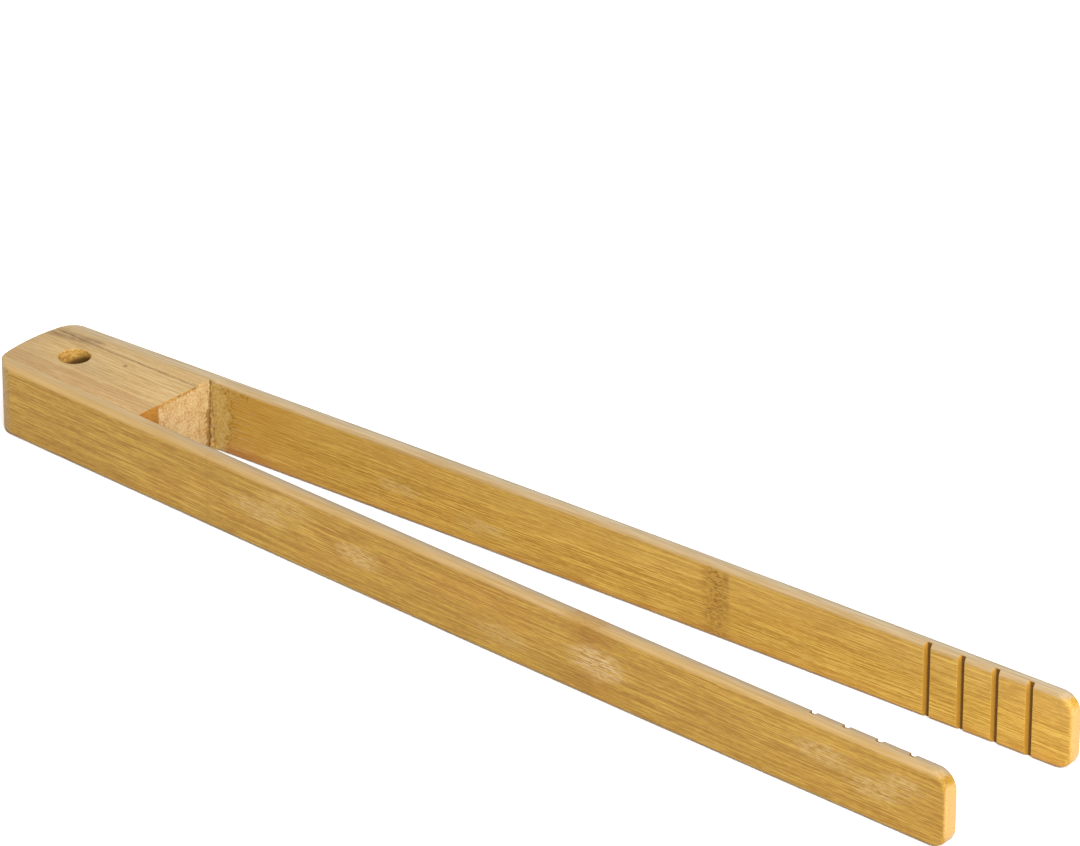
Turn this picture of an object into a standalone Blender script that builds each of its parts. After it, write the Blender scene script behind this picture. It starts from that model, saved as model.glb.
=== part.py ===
"""Bamboo print tongs: two springy arms glued to a tapered, laminated block with a hanging hole.

The tongs lie on their side. +X runs from the head end to the tips, +Y is the left arm's side and
+Z is up, along the hanging hole. The origin is under the middle of the tongs, on the surface they
lie on. A station is a distance along X from the head end.
"""
import math

import bmesh
import bpy
from mathutils import Matrix, Vector

MM = 0.001

# Arms
LENGTH = 250.0 * MM                 # head end to tips
ARM_WIDTH = 15.6 * MM               # height of an arm strip, on edge
ARM_THICKNESS = 3.2 * MM
HEAD_FLARE = math.radians(2.6)      # each arm's angle to the middle plane, along the block
TIP_FLARE = math.radians(1.2)       # the same at the tip: the strips bow a little
EDGE_RADIUS = 0.9 * MM              # along the strips' edges
TIP_CORNER_RADIUS = 4.0 * MM        # at the tip's corners, seen from the side

# Block, across the tongs at the head end
RIGHT_STRIP_THICKNESS = 3.2 * MM
CORE_STRIP_THICKNESS = 11.2 * MM
LEFT_STRIP_THICKNESS = 1.4 * MM
BLOCK_LENGTH = 40.4 * MM
GLUE_LINE = 0.3 * MM                # from wood to wood
GLUE_CLEARANCE = 0.05 * MM          # between a glue film and the wood beside it
GLUE_SETBACK = 0.25 * MM            # of a film's rim behind the wood's surface
BEAD_SIZE = 0.9 * MM                # glue squeezed out in the corner of block and left arm
HEAD_END_RADIUS = 40.0 * MM         # the gently rounded end
HEAD_CORNER_RADIUS = 5.0 * MM
HEAD_MARGIN = 0.02 * MM             # keeps the head's form just off the arms' outer faces

# Hanging hole
HOLE_DIAMETER = 6.5 * MM
HOLE_STATION = 12.6 * MM

# Grip cuts across the jaws
CUT_COUNT = 4
CUT_PITCH = 7.8 * MM
CUT_FROM_TIP = 9.9 * MM             # last cut's middle to the tip
CUT_MOUTH = 1.6 * MM
CUT_FLOOR = 1.1 * MM
CUT_DEPTH = 0.9 * MM

# Flex line, where each arm's blade turns on its root
FLEX_FROM_BLOCK = 30.0 * MM
FLEX_GAP = 0.3 * MM

# Facets
BOW_STEP = 12.0 * MM
EDGE_SEGMENTS = 2
CORNER_SEGMENTS = 5
HOLE_SEGMENTS = 32
END_ARC_POINTS = 9
OVERSIZE = 2.0 * MM                 # of a cutter past what it cuts
SAW_ABOVE_FACE = 1.0 * MM           # of a grip cut's saw, before it meets the wood
SAME_PLACE = 0.001 * MM             # points closer than this count as one line
MERGE_DISTANCE = 0.00001 * MM

HEAD_X = -LENGTH / 2
FLEX_STATION = BLOCK_LENGTH + FLEX_FROM_BLOCK
BLOCK_WIDTH = RIGHT_STRIP_THICKNESS + CORE_STRIP_THICKNESS + LEFT_STRIP_THICKNESS + 2 * GLUE_LINE
ARM_INNER_AT_HEAD = BLOCK_WIDTH / 2 + GLUE_LINE
LEFT, RIGHT = 1, -1

BAMBOO_FACE = (0.50, 0.30, 0.085)
BAMBOO_BLOCK = (0.62, 0.41, 0.17)
BAMBOO_DARK = (0.50, 0.27, 0.08)
GLUE_BROWN = (0.16, 0.09, 0.03)


def clear_scene():
    for thing in list(bpy.data.objects):
        bpy.data.objects.remove(thing, do_unlink=True)


def new_collection(name):
    group = bpy.data.collections.new(name)
    bpy.context.scene.collection.children.link(group)
    return group


def finish_material(name, colour, roughness):
    material = bpy.data.materials.new(name)
    material.use_nodes = True
    shader = material.node_tree.nodes["Principled BSDF"]
    shader.inputs["Base Color"].default_value = (*colour, 1.0)
    shader.inputs["Roughness"].default_value = roughness
    shader.inputs["Metallic"].default_value = 0.0
    material.diffuse_color = (*colour, 1.0)
    return material


# --- The arms' line -------------------------------------------------------------------------

def flare_at(station):
    """Tangent of the arm's angle to the middle plane: constant along the block, then easing."""
    free = max(station - BLOCK_LENGTH, 0.0) / (LENGTH - BLOCK_LENGTH)
    return math.tan(HEAD_FLARE) + free * (math.tan(TIP_FLARE) - math.tan(HEAD_FLARE))


def inner_face_at(station):
    """Distance of an arm's inner face from the middle plane."""
    along_block = min(station, BLOCK_LENGTH)
    free = station - along_block
    mean_flare = (math.tan(HEAD_FLARE) + flare_at(station)) / 2
    return ARM_INNER_AT_HEAD + math.tan(HEAD_FLARE) * along_block + mean_flare * free


def on_arm(station, outward, height, side):
    """A point at a station, a distance outward from the arm's inner face, and a height."""
    angle = math.atan(flare_at(station))
    x = station - outward * math.sin(angle)
    y = inner_face_at(station) + outward * math.cos(angle)
    return Vector((x, side * y, height))


# --- Shapes ---------------------------------------------------------------------------------

def mesh_object(name, bm, group, origin=(0.0, 0.0, 0.0)):
    """A mesh in station coordinates, as an object whose own origin lies at the given point."""
    bmesh.ops.translate(bm, verts=bm.verts, vec=-Vector(origin))
    bmesh.ops.recalc_face_normals(bm, faces=bm.faces)
    mesh = bpy.data.meshes.new(name)
    bm.to_mesh(mesh)
    bm.free()
    thing = bpy.data.objects.new(name, mesh)
    thing.location = Vector(origin) + Vector((HEAD_X, 0.0, 0.0))
    group.objects.link(thing)
    return thing


def plan_prism(points, low, high):
    """A flat outline in plan, extruded from one height to another, as a closed bmesh."""
    curve = bpy.data.curves.new("outline", 'CURVE')
    curve.dimensions = '2D'
    curve.fill_mode = 'BOTH'
    curve.extrude = (high - low) / 2
    spline = curve.splines.new('POLY')
    spline.points.add(len(points) - 1)
    for point, (x, y) in zip(spline.points, points):
        point.co = (x, y, 0.0, 1.0)
    spline.use_cyclic_u = True
    guide = bpy.data.objects.new("outline", curve)
    bpy.context.scene.collection.objects.link(guide)
    graph = bpy.context.evaluated_depsgraph_get()
    mesh = bpy.data.meshes.new_from_object(guide.evaluated_get(graph))
    bm = bmesh.new()
    bm.from_mesh(mesh)
    bmesh.ops.remove_doubles(bm, verts=bm.verts, dist=MERGE_DISTANCE)
    bmesh.ops.translate(bm, verts=bm.verts, vec=(0.0, 0.0, (low + high) / 2))
    bpy.data.objects.remove(guide, do_unlink=True)
    bpy.data.meshes.remove(mesh)
    bpy.data.curves.remove(curve)
    return bm


def slice_at(bm, station):
    """A cross-cut through a straight bar that leaves it whole and gives it edges to bend at."""
    whole = list(bm.verts) + list(bm.edges) + list(bm.faces)
    bmesh.ops.bisect_plane(bm, geom=whole, plane_co=(station, 0, 0), plane_no=(1, 0, 0))


def round_edges(bm, wanted, radius, segments):
    edges = [edge for edge in bm.edges if wanted(edge.verts[0].co, edge.verts[1].co)]
    bmesh.ops.bevel(bm, geom=edges, offset=radius, segments=segments, profile=0.5, affect='EDGES')


def same(a, b):
    return abs(a - b) < SAME_PLACE


def arm_bar(start, end, has_tip):
    """A straight bar along X: station, distance outward from the inner face, height."""
    bm = bmesh.new()
    bmesh.ops.create_cube(bm, size=1.0)
    bmesh.ops.scale(bm, vec=(end - start, ARM_THICKNESS, ARM_WIDTH), verts=bm.verts)
    middle = ((start + end) / 2, ARM_THICKNESS / 2, ARM_WIDTH / 2)
    bmesh.ops.translate(bm, verts=bm.verts, vec=middle)
    if start < BLOCK_LENGTH:
        slice_at(bm, BLOCK_LENGTH)

    def tip_corner(a, b):
        return same(a.x, end) and same(b.x, end) and same(a.z, b.z)

    def rim(a, b):
        on_outer = same(a.y, ARM_THICKNESS) and same(b.y, ARM_THICKNESS)
        on_inner = same(a.y, 0.0) and same(b.y, 0.0) and min(a.x, b.x) > BLOCK_LENGTH - OVERSIZE / 2
        on_edge = same(a.z, b.z) and (same(a.z, 0.0) or same(a.z, ARM_WIDTH))
        past_corner = has_tip and min(a.x, b.x) > end - TIP_CORNER_RADIUS - OVERSIZE / 2
        return (on_outer or on_inner) and (on_edge or past_corner)

    if has_tip:
        round_edges(bm, tip_corner, TIP_CORNER_RADIUS, CORNER_SEGMENTS)
    round_edges(bm, rim, EDGE_RADIUS, EDGE_SEGMENTS)
    for step in range(1, math.ceil((end - start) / BOW_STEP)):
        slice_at(bm, start + step * BOW_STEP)
    return bm


def bend_bar(bm, side):
    for vert in bm.verts:
        vert.co = on_arm(vert.co.x, vert.co.y, vert.co.z, side)


# --- Cutters --------------------------------------------------------------------------------

def hide_cutter(cutter):
    cutter.hide_render = True
    cutter.display_type = 'WIRE'


def head_form(group):
    """The head's outline in plan: a gently rounded end and two rounded corners."""
    outer = ARM_INNER_AT_HEAD + ARM_THICKNESS / math.cos(HEAD_FLARE) + HEAD_MARGIN
    sweep = math.asin(outer / HEAD_END_RADIUS)
    points = []
    for i in range(END_ARC_POINTS):
        angle = -sweep + 2 * sweep * i / (END_ARC_POINTS - 1)
        x = HEAD_END_RADIUS * (1 - math.cos(angle))
        points.append((x, HEAD_END_RADIUS * math.sin(angle)))
    corner_x = points[0][0]
    back = FLEX_STATION + OVERSIZE
    back_y = outer + math.tan(HEAD_FLARE) * (back - corner_x)
    points += [(back, back_y), (back, -back_y)]
    bm = plan_prism(points, -OVERSIZE, ARM_WIDTH + OVERSIZE)

    def corner(a, b):
        return same(a.x, corner_x) and same(b.x, corner_x) and same(a.y, b.y)

    round_edges(bm, corner, HEAD_CORNER_RADIUS, CORNER_SEGMENTS)
    form = mesh_object("head_form", bm, group)
    hide_cutter(form)
    return form


def hole_drill(name, radius, group):
    bpy.ops.mesh.primitive_cylinder_add(
        vertices=HOLE_SEGMENTS, radius=radius, depth=ARM_WIDTH + 2 * OVERSIZE,
        location=(HEAD_X + HOLE_STATION, 0.0, ARM_WIDTH / 2))
    drill = bpy.context.object
    drill.name = name
    for owner in drill.users_collection:
        owner.objects.unlink(drill)
    group.objects.link(drill)
    hide_cutter(drill)
    return drill


def grip_saw(name, station, side, group):
    """A cut that narrows from its mouth in the jaw's inner face to its floor."""
    slope = (CUT_MOUTH - CUT_FLOOR) / 2 / CUT_DEPTH
    half_top = CUT_MOUTH / 2 + slope * SAW_ABOVE_FACE
    half_floor = CUT_FLOOR / 2
    profile = [
        (-half_top, -SAW_ABOVE_FACE), (half_top, -SAW_ABOVE_FACE),
        (half_floor, CUT_DEPTH), (-half_floor, CUT_DEPTH),
    ]
    bm = plan_prism(profile, -OVERSIZE, ARM_WIDTH + OVERSIZE)
    turn = Matrix.Rotation(math.atan(flare_at(station)), 4, 'Z')
    place = Matrix.Translation((station, inner_face_at(station), 0.0))
    mirror = Matrix.Scale(side, 4, (0.0, 1.0, 0.0))
    bmesh.ops.transform(bm, matrix=mirror @ place @ turn, verts=bm.verts)
    saw = mesh_object(name, bm, group)
    hide_cutter(saw)
    return saw


def apply_tool(piece, tool, operation):
    cut = piece.modifiers.new(tool.name, 'BOOLEAN')
    cut.object = tool
    cut.operation = operation
    cut.solver = 'EXACT'


# --- The arms -------------------------------------------------------------------------------

def arm_root(name, side, group, form):
    bm = arm_bar(-OVERSIZE, FLEX_STATION - FLEX_GAP / 2, has_tip=False)
    bend_bar(bm, side)
    root = mesh_object(name, bm, group)
    apply_tool(root, form, 'INTERSECT')
    return root


def arm_blade(name, side, group, cutters):
    bm = arm_bar(FLEX_STATION + FLEX_GAP / 2, LENGTH, has_tip=True)
    bend_bar(bm, side)
    flex_line = on_arm(FLEX_STATION, ARM_THICKNESS / 2, ARM_WIDTH / 2, side)
    blade = mesh_object(name, bm, group, origin=flex_line)
    for i in range(CUT_COUNT):
        station = LENGTH - CUT_FROM_TIP - i * CUT_PITCH
        apply_tool(blade, grip_saw(f"{name}_saw_{i + 1}", station, side, cutters), 'DIFFERENCE')
    axis = bpy.data.objects.new(f"{name}_flex_line", None)
    axis.empty_display_size = ARM_WIDTH
    axis.location = blade.location
    group.objects.link(axis)
    blade.parent = axis
    blade.location = (0.0, 0.0, 0.0)
    return blade


# --- The block ------------------------------------------------------------------------------

def joint_faces():
    """How far to the left the outer strips' glued faces lie of the middle plane: right, left."""
    right_face = -BLOCK_WIDTH / 2 + RIGHT_STRIP_THICKNESS
    left_face = BLOCK_WIDTH / 2 - LEFT_STRIP_THICKNESS
    return right_face, left_face


def flank(side, inset):
    """The block's tapering flank, from past the head end to the open end."""
    flare = math.tan(HEAD_FLARE)
    face = ARM_INNER_AT_HEAD - inset / math.cos(HEAD_FLARE)
    return [(station, side * (face + flare * station)) for station in (-OVERSIZE, BLOCK_LENGTH)]


def block_strip(name, low_line, high_line, group, form):
    """A strip between two lines that each run from the head end to the open end."""
    bm = plan_prism(low_line + high_line[::-1], 0.0, ARM_WIDTH)
    strip = mesh_object(name, bm, group)
    apply_tool(strip, form, 'INTERSECT')
    return strip


def straight(y):
    """A glue joint's line, level with the middle plane, over the same length as a flank."""
    return [(-OVERSIZE, y), (BLOCK_LENGTH, y)]


def block_strips(group, form, drill):
    right_face, left_face = joint_faces()
    right_flank, left_flank = flank(RIGHT, GLUE_LINE), flank(LEFT, GLUE_LINE)
    core_right, core_left = straight(right_face + GLUE_LINE), straight(left_face - GLUE_LINE)
    right = block_strip("right_block_strip", right_flank, straight(right_face), group, form)
    core = block_strip("core_block_strip", core_right, core_left, group, form)
    left = block_strip("left_block_strip", straight(left_face), left_flank, group, form)
    apply_tool(core, drill, 'DIFFERENCE')
    return right, core, left


# --- The glue -------------------------------------------------------------------------------

def film_start(y):
    """Where a film's rim stands behind the rounded head end and its corner."""
    end_arc = HEAD_END_RADIUS - math.sqrt(HEAD_END_RADIUS ** 2 - y ** 2)
    outer = ARM_INNER_AT_HEAD + ARM_THICKNESS
    into_corner = max(abs(y) - (outer - HEAD_CORNER_RADIUS), 0.0)
    corner = HEAD_CORNER_RADIUS - math.sqrt(HEAD_CORNER_RADIUS ** 2 - into_corner ** 2)
    return end_arc + corner + GLUE_SETBACK


def core_film(name, wood_face, group):
    """A film on the right-hand wood face that it is given, between the core and an outer strip."""
    low = wood_face + GLUE_CLEARANCE
    high = wood_face + GLUE_LINE - GLUE_CLEARANCE
    start = max(film_start(low), film_start(high))
    end = BLOCK_LENGTH - GLUE_SETBACK
    outline = [(start, low), (end, low), (end, high), (start, high)]
    bm = plan_prism(outline, GLUE_SETBACK, ARM_WIDTH - GLUE_SETBACK)
    return mesh_object(name, bm, group)


def arm_film(name, side, has_bead, group):
    """A film between an arm and the block, with or without a bead in the open corner."""
    start = film_start(ARM_INNER_AT_HEAD)
    near_arm = GLUE_CLEARANCE
    near_block = GLUE_LINE - GLUE_CLEARANCE
    end = BLOCK_LENGTH - GLUE_SETBACK
    rim = [(start, near_block), (start, near_arm)]
    if has_bead:
        bead_start = BLOCK_LENGTH + GLUE_CLEARANCE
        bead = GLUE_LINE + BEAD_SIZE
        rim += [(bead_start + BEAD_SIZE, near_arm), (bead_start, bead), (bead_start, near_block)]
    else:
        rim += [(end, near_arm), (end, near_block)]
    points = []
    for station, inward in rim:
        spot = on_arm(station, -inward, 0.0, side)
        points.append((spot.x, spot.y))
    bm = plan_prism(points, GLUE_SETBACK, ARM_WIDTH - GLUE_SETBACK)
    return mesh_object(name, bm, group)


def glue_films(group):
    right_face, left_face = joint_faces()
    return [
        core_film("right_core_glue", right_face, group),
        core_film("left_core_glue", left_face - GLUE_LINE, group),
        arm_film("right_arm_glue", RIGHT, False, group),
        arm_film("left_arm_glue", LEFT, True, group),
    ]


# --- The tongs ------------------------------------------------------------------------------

def dress(things, material):
    for thing in things:
        thing.data.materials.append(material)


def main():
    clear_scene()
    group = new_collection("print_tongs")
    cutters = new_collection("cutters")
    form = head_form(cutters)
    drill = hole_drill("hole_drill", HOLE_DIAMETER / 2, cutters)
    arms = []
    for prefix, side in (("left", LEFT), ("right", RIGHT)):
        arms.append(arm_root(f"{prefix}_arm_root", side, group, form))
        arms.append(arm_blade(f"{prefix}_arm_blade", side, group, cutters))
    right, core, left = block_strips(group, form, drill)
    dress(arms, finish_material("arm_bamboo", BAMBOO_FACE, 0.45))
    dress([core, left], finish_material("block_bamboo", BAMBOO_BLOCK, 0.5))
    dress([right], finish_material("dark_bamboo", BAMBOO_DARK, 0.5))
    dress(glue_films(group), finish_material("dried_glue", GLUE_BROWN, 0.35))


main()
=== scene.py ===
"""Bamboo print tongs on a white floor.

Two sprung bamboo strips are glued to a short laminated block with a hanging hole. Sizes are in
millimetres until a mesh is made. A station is a distance along the tongs from the head end, and an
arm is drawn straight before it is bent: station, distance outward from its inner face, height.
"""

import math

import bmesh
import bpy
import numpy as np
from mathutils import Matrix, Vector, noise


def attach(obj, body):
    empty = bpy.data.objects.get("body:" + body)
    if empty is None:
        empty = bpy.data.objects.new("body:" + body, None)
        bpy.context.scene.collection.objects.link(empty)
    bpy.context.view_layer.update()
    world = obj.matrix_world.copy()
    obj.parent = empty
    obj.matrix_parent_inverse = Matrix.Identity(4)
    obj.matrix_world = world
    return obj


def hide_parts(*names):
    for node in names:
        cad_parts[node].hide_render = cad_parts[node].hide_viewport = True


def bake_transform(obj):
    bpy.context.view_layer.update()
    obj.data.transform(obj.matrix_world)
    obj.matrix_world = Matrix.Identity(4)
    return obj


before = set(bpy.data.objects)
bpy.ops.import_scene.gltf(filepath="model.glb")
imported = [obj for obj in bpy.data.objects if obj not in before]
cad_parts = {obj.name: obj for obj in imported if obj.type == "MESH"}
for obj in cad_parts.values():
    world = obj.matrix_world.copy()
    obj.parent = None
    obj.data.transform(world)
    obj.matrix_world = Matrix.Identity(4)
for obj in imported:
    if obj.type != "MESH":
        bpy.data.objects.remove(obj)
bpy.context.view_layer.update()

MM = 0.001

SAME_POINT = 0.00001 * MM
PLATE_SAME_POINT = 0.0005       # a plate is merged while it is still in millimetres

# Arms
LENGTH = 250.0
ARM_WIDTH = 15.6
ARM_THICKNESS = 3.2
HEAD_FLARE = math.tan(math.radians(2.6))
TIP_FLARE = math.tan(math.radians(1.2))
EDGE_RADIUS = 0.9
INNER_EDGE_RADIUS = {1: 0.92, -1: 0.32}    # left arm, right arm
GLUED_EDGE_RADIUS = 0.12
TIP_CORNER_RADIUS = 4.0

# Block
BLOCK_LENGTH = 40.4
RIGHT_JOINT = -4.85
LEFT_JOINT = 6.65
ARM_INNER_AT_HEAD = 8.5
HEAD_END_RADIUS = 40.0
HOLE_STATION = 12.6
HOLE_DIAMETER = 6.5

# Grip cuts
CUT_COUNT = 4
CUT_PITCH = 7.8
CUT_FROM_TIP = 9.9
CUT_MOUTH = 1.6
CUT_FLOOR = 1.1
CUT_DEPTH = 0.9
BURR_GRAIN = (LENGTH - 20.0, 0.0, 8.0)      # the place in the arm that every saw burr takes its colour from

# Glue: half of each hairline, between wood and wood and of the film in it
JOINT_HALF = 0.02
FILM_HALF = 0.012
FILM_SET_BACK = 0.05            # from the head end
FILM_SHORT_OF_END = 0.07
FILM_SHORT_OF_FACE = 0.17       # above the lower face and below the upper one
CORE_RIM = 0.15
STRIP_RIM = 0.12
FILM_RIM = 0.004

LEFT, RIGHT = 1, -1

# The white room is lit past white, so finishes are mixed this much darker than they should look
ROOM_BRIGHTNESS = 2.2


# --- Wiring of node trees -------------------------------------------------------------------

class Wiring:
    """Puts nodes in a tree. A socket's value is a number, a colour or another node's output."""

    def __init__(self, tree):
        self.tree = tree
        tree.nodes.clear()

    def put(self, kind, sockets=None, **settings):
        node = self.tree.nodes.new(kind)
        for setting, value in settings.items():
            setattr(node, setting, value)
        for key, value in (sockets or {}).items():
            self.feed(node.inputs[key], value)
        return node

    def feed(self, socket, value):
        if isinstance(value, bpy.types.NodeSocket):
            self.tree.links.new(value, socket)
        else:
            socket.default_value = value

    def math(self, operation, *values, clamp=False):
        node = self.put("ShaderNodeMath", operation=operation, use_clamp=clamp)
        for socket, value in zip(node.inputs, values):
            self.feed(socket, value)
        return node.outputs[0]

    def plus(self, a, b):
        return self.math('ADD', a, b)

    def minus(self, a, b):
        return self.math('SUBTRACT', a, b)

    def times(self, a, b):
        return self.math('MULTIPLY', a, b)

    def drift(self, noise, reach):
        """A noise made to go both ways about zero."""
        return self.times(self.minus(noise, 0.5), reach)

    def ramp(self, value, start, end, low=0.0, high=1.0):
        """Eases from low to high as the value goes from start to end."""
        sockets = {"Value": value, "From Min": start, "From Max": end, "To Min": low, "To Max": high}
        node = self.put("ShaderNodeMapRange", sockets, interpolation_type='SMOOTHSTEP')
        return node.outputs["Result"]

    def band(self, value, centre, half_width, softness):
        """One inside a band and zero outside it."""
        off = self.math('ABSOLUTE', self.minus(value, centre))
        return self.ramp(off, half_width - softness, half_width + softness, 1.0, 0.0)

    def split(self, vector):
        return self.put("ShaderNodeSeparateXYZ", {0: vector}).outputs

    def join(self, x, y, z):
        return self.put("ShaderNodeCombineXYZ", {0: x, 1: y, 2: z}).outputs[0]

    def scaled(self, vector, factors):
        node = self.put("ShaderNodeVectorMath", {0: vector, 1: factors}, operation='MULTIPLY')
        return node.outputs[0]

    def noise(self, vector, scale, detail=2.0, roughness=0.5, distortion=0.0):
        sockets = {
            "Vector": vector, "Scale": scale, "Detail": detail,
            "Roughness": roughness, "Distortion": distortion,
        }
        return self.put("ShaderNodeTexNoise", sockets).outputs[0]

    def mix(self, factor, a, b, blend='MIX'):
        node = self.put("ShaderNodeMix", data_type='RGBA', blend_type=blend)
        self.feed(node.inputs[0], factor)
        self.feed(node.inputs[6], a)
        self.feed(node.inputs[7], b)
        return node.outputs[2]


def shape_tree(name, sizes):
    """An empty Geometry Nodes tree with a geometry, named sizes in metres and a finish as inputs."""
    tree = bpy.data.node_groups.new(name, "GeometryNodeTree")
    wiring = Wiring(tree)
    tree.interface.new_socket("Geometry", in_out='INPUT', socket_type='NodeSocketGeometry')
    for label, value in sizes.items():
        socket = tree.interface.new_socket(label, in_out='INPUT', socket_type='NodeSocketFloat')
        socket.default_value = value
    tree.interface.new_socket("Finish", in_out='INPUT', socket_type='NodeSocketMaterial')
    tree.interface.new_socket("Geometry", in_out='OUTPUT', socket_type='NodeSocketGeometry')
    return tree, wiring, wiring.put("NodeGroupInput").outputs


def end_tree(wiring, geometry, finish):
    whole = wiring.put("GeometryNodeRealizeInstances", {0: geometry}).outputs[0]
    dressed = wiring.put("GeometryNodeSetMaterial", {0: whole, 2: finish}).outputs[0]
    wiring.put("NodeGroupOutput", {0: dressed})


def grow(name, tree, mesh, inputs):
    """Runs a shape tree on a mesh, and gives an object with the plain result."""
    thing = bpy.data.objects.new(name, mesh)
    modifier = thing.modifiers.new(name, 'NODES')
    modifier.node_group = tree
    for item in tree.interface.items_tree:
        if item.in_out == 'INPUT' and item.name in inputs:
            modifier[item.identifier] = inputs[item.name]
    bpy.context.scene.collection.objects.link(thing)
    graph = bpy.context.evaluated_depsgraph_get()
    plain = bpy.data.meshes.new_from_object(thing.evaluated_get(graph))
    thing.modifiers.remove(modifier)
    thing.data = plain
    plain.name = name
    return thing


def face_outwards(mesh, same_point=SAME_POINT):
    bm = bmesh.new()
    bm.from_mesh(mesh)
    bmesh.ops.remove_doubles(bm, verts=bm.verts, dist=same_point)
    bmesh.ops.recalc_face_normals(bm, faces=bm.faces)
    bm.to_mesh(mesh)
    bm.free()


# --- Shape of the arms ----------------------------------------------------------------------

ARM_SIZES = {
    "Side": 1.0,
    "Length": LENGTH * MM,
    "Block Length": BLOCK_LENGTH * MM,
    "Inner Face At Head": ARM_INNER_AT_HEAD * MM,
    "Head Flare": HEAD_FLARE,
    "Tip Flare": TIP_FLARE,
}
CUT_SIZES = {
    "Cut Count": float(CUT_COUNT),
    "Cut Pitch": CUT_PITCH * MM,
    "Cut From Tip": CUT_FROM_TIP * MM,
    "Cut Mouth": CUT_MOUTH * MM,
    "Cut Floor": CUT_FLOOR * MM,
    "Cut Depth": CUT_DEPTH * MM,
    "Saw Chatter": 0.10 * MM,
    "Planing Waves": 0.05 * MM,
    "Seed": 0.0,
}


def bend_onto_arm(wiring, size, position):
    """A straight arm's point, moved to where the sprung arm has it."""
    station, outward, height = wiring.split(position)
    free = wiring.math('MAXIMUM', wiring.minus(station, size["Block Length"]), 0.0)
    along_block = wiring.minus(station, free)
    share = wiring.math('DIVIDE', free, wiring.minus(size["Length"], size["Block Length"]))
    turn = wiring.times(share, wiring.minus(size["Tip Flare"], size["Head Flare"]))
    flare = wiring.plus(size["Head Flare"], turn)
    mean_flare = wiring.plus(size["Head Flare"], wiring.times(turn, 0.5))
    inner = wiring.plus(size["Inner Face At Head"], wiring.times(size["Head Flare"], along_block))
    inner = wiring.plus(inner, wiring.times(mean_flare, free))
    angle = wiring.math('ARCTANGENT', flare)
    x = wiring.minus(station, wiring.times(outward, wiring.math('SINE', angle)))
    x = wiring.minus(x, wiring.times(size["Length"], 0.5))
    y = wiring.plus(inner, wiring.times(outward, wiring.math('COSINE', angle)))
    return wiring.join(x, wiring.times(y, size["Side"]), height)


def sprung_arm_tree():
    """Saws the grip cuts into a straight bar, roughens it as planing does, and bends it."""
    tree, wiring, size = shape_tree("sprung_arm", {**ARM_SIZES, **CUT_SIZES})
    position = wiring.put("GeometryNodeInputPosition").outputs[0]
    station, outward, height = wiring.split(position)
    from_last = wiring.minus(wiring.minus(size["Length"], size["Cut From Tip"]), station)
    half_pitch = wiring.times(size["Cut Pitch"], 0.5)
    from_nearest = wiring.math('PINGPONG', from_last, half_pitch)
    before_last = wiring.math('GREATER_THAN', from_last, wiring.times(half_pitch, -1.0))
    reach = wiring.times(size["Cut Pitch"], wiring.minus(size["Cut Count"], 0.5))
    after_first = wiring.math('LESS_THAN', from_last, reach)
    wall_start = wiring.times(size["Cut Floor"], 0.47)
    wall_end = wiring.times(size["Cut Mouth"], 0.52)
    cut = wiring.ramp(from_nearest, wall_start, wall_end, 1.0, 0.0)
    cut = wiring.times(wiring.times(cut, before_last), after_first)
    shifted = wiring.join(wiring.plus(station, size["Seed"]), outward, height)
    torn = wiring.scaled(shifted, (900.0, 900.0, 1400.0))
    rough = wiring.minus(wiring.noise(torn, 1.0, 3.0), 0.5)
    chatter = wiring.times(wiring.times(rough, cut), size["Saw Chatter"])
    floor = wiring.plus(wiring.times(cut, size["Cut Depth"]), chatter)
    in_cut = wiring.math('GREATER_THAN', cut, 0.02)
    lowered = wiring.math('MAXIMUM', outward, wiring.times(floor, in_cut))
    sawn = wiring.math('GREATER_THAN', wiring.minus(floor, outward), -0.02 * MM)
    sawn = wiring.times(wiring.times(sawn, in_cut), cut)
    wave = wiring.minus(wiring.noise(wiring.scaled(shifted, (45.0, 80.0, 80.0)), 1.0, 2.0), 0.5)
    wave_height = wiring.times(size["Planing Waves"], wiring.minus(1.0, cut))
    waved = wiring.plus(lowered, wiring.times(wave, wave_height))
    sunk = wiring.join(wiring.plus(station, chatter), waved, height)
    store = wiring.put(
        "GeometryNodeStoreNamedAttribute", {"Name": "sawn"}, data_type='FLOAT', domain='POINT')
    wiring.feed(store.inputs["Geometry"], size["Geometry"])
    wiring.feed(store.inputs["Value"], sawn)
    moved = wiring.put("GeometryNodeSetPosition")
    wiring.feed(moved.inputs["Geometry"], store.outputs["Geometry"])
    wiring.feed(moved.inputs["Position"], bend_onto_arm(wiring, size, sunk))
    end_tree(wiring, moved.outputs[0], size["Finish"])
    return tree


def head_end_at(y):
    """Station of the rounded head end, at a distance from the middle plane."""
    corner_start, corner_end, corner_depth = 8.6, 11.9, 4.6
    roundness = 0.97                # 1 would end the corner square to the arm
    end = HEAD_END_RADIUS - np.sqrt(HEAD_END_RADIUS ** 2 - y ** 2)
    turn = np.clip((y - corner_start) / (corner_end - corner_start), 0.0, 1.0)
    return end + corner_depth * (1 - np.sqrt(1 - roundness * turn ** 2)) / (1 - math.sqrt(1 - roundness))


def arm_stations():
    """Where the bar's cross-cuts go: closer together at the head, the block's end and the cuts."""
    reach, closest = 1.1, 0.07
    stations = list(np.arange(1.0, 12.0, 0.8))
    stations += list(np.arange(12.0, LENGTH - TIP_CORNER_RADIUS - 0.5, 1.0))
    for i in range(CUT_COUNT):
        middle = LENGTH - CUT_FROM_TIP - i * CUT_PITCH
        stations += list(middle + np.linspace(-reach, reach, 23))
    stations += list(np.arange(BLOCK_LENGTH - 1.0, BLOCK_LENGTH + 4.0, 0.3))
    stations = sorted(stations)
    kept = [stations[0]]
    for station in stations[1:]:
        if station - kept[-1] > closest:
            kept.append(station)
    return kept


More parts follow.
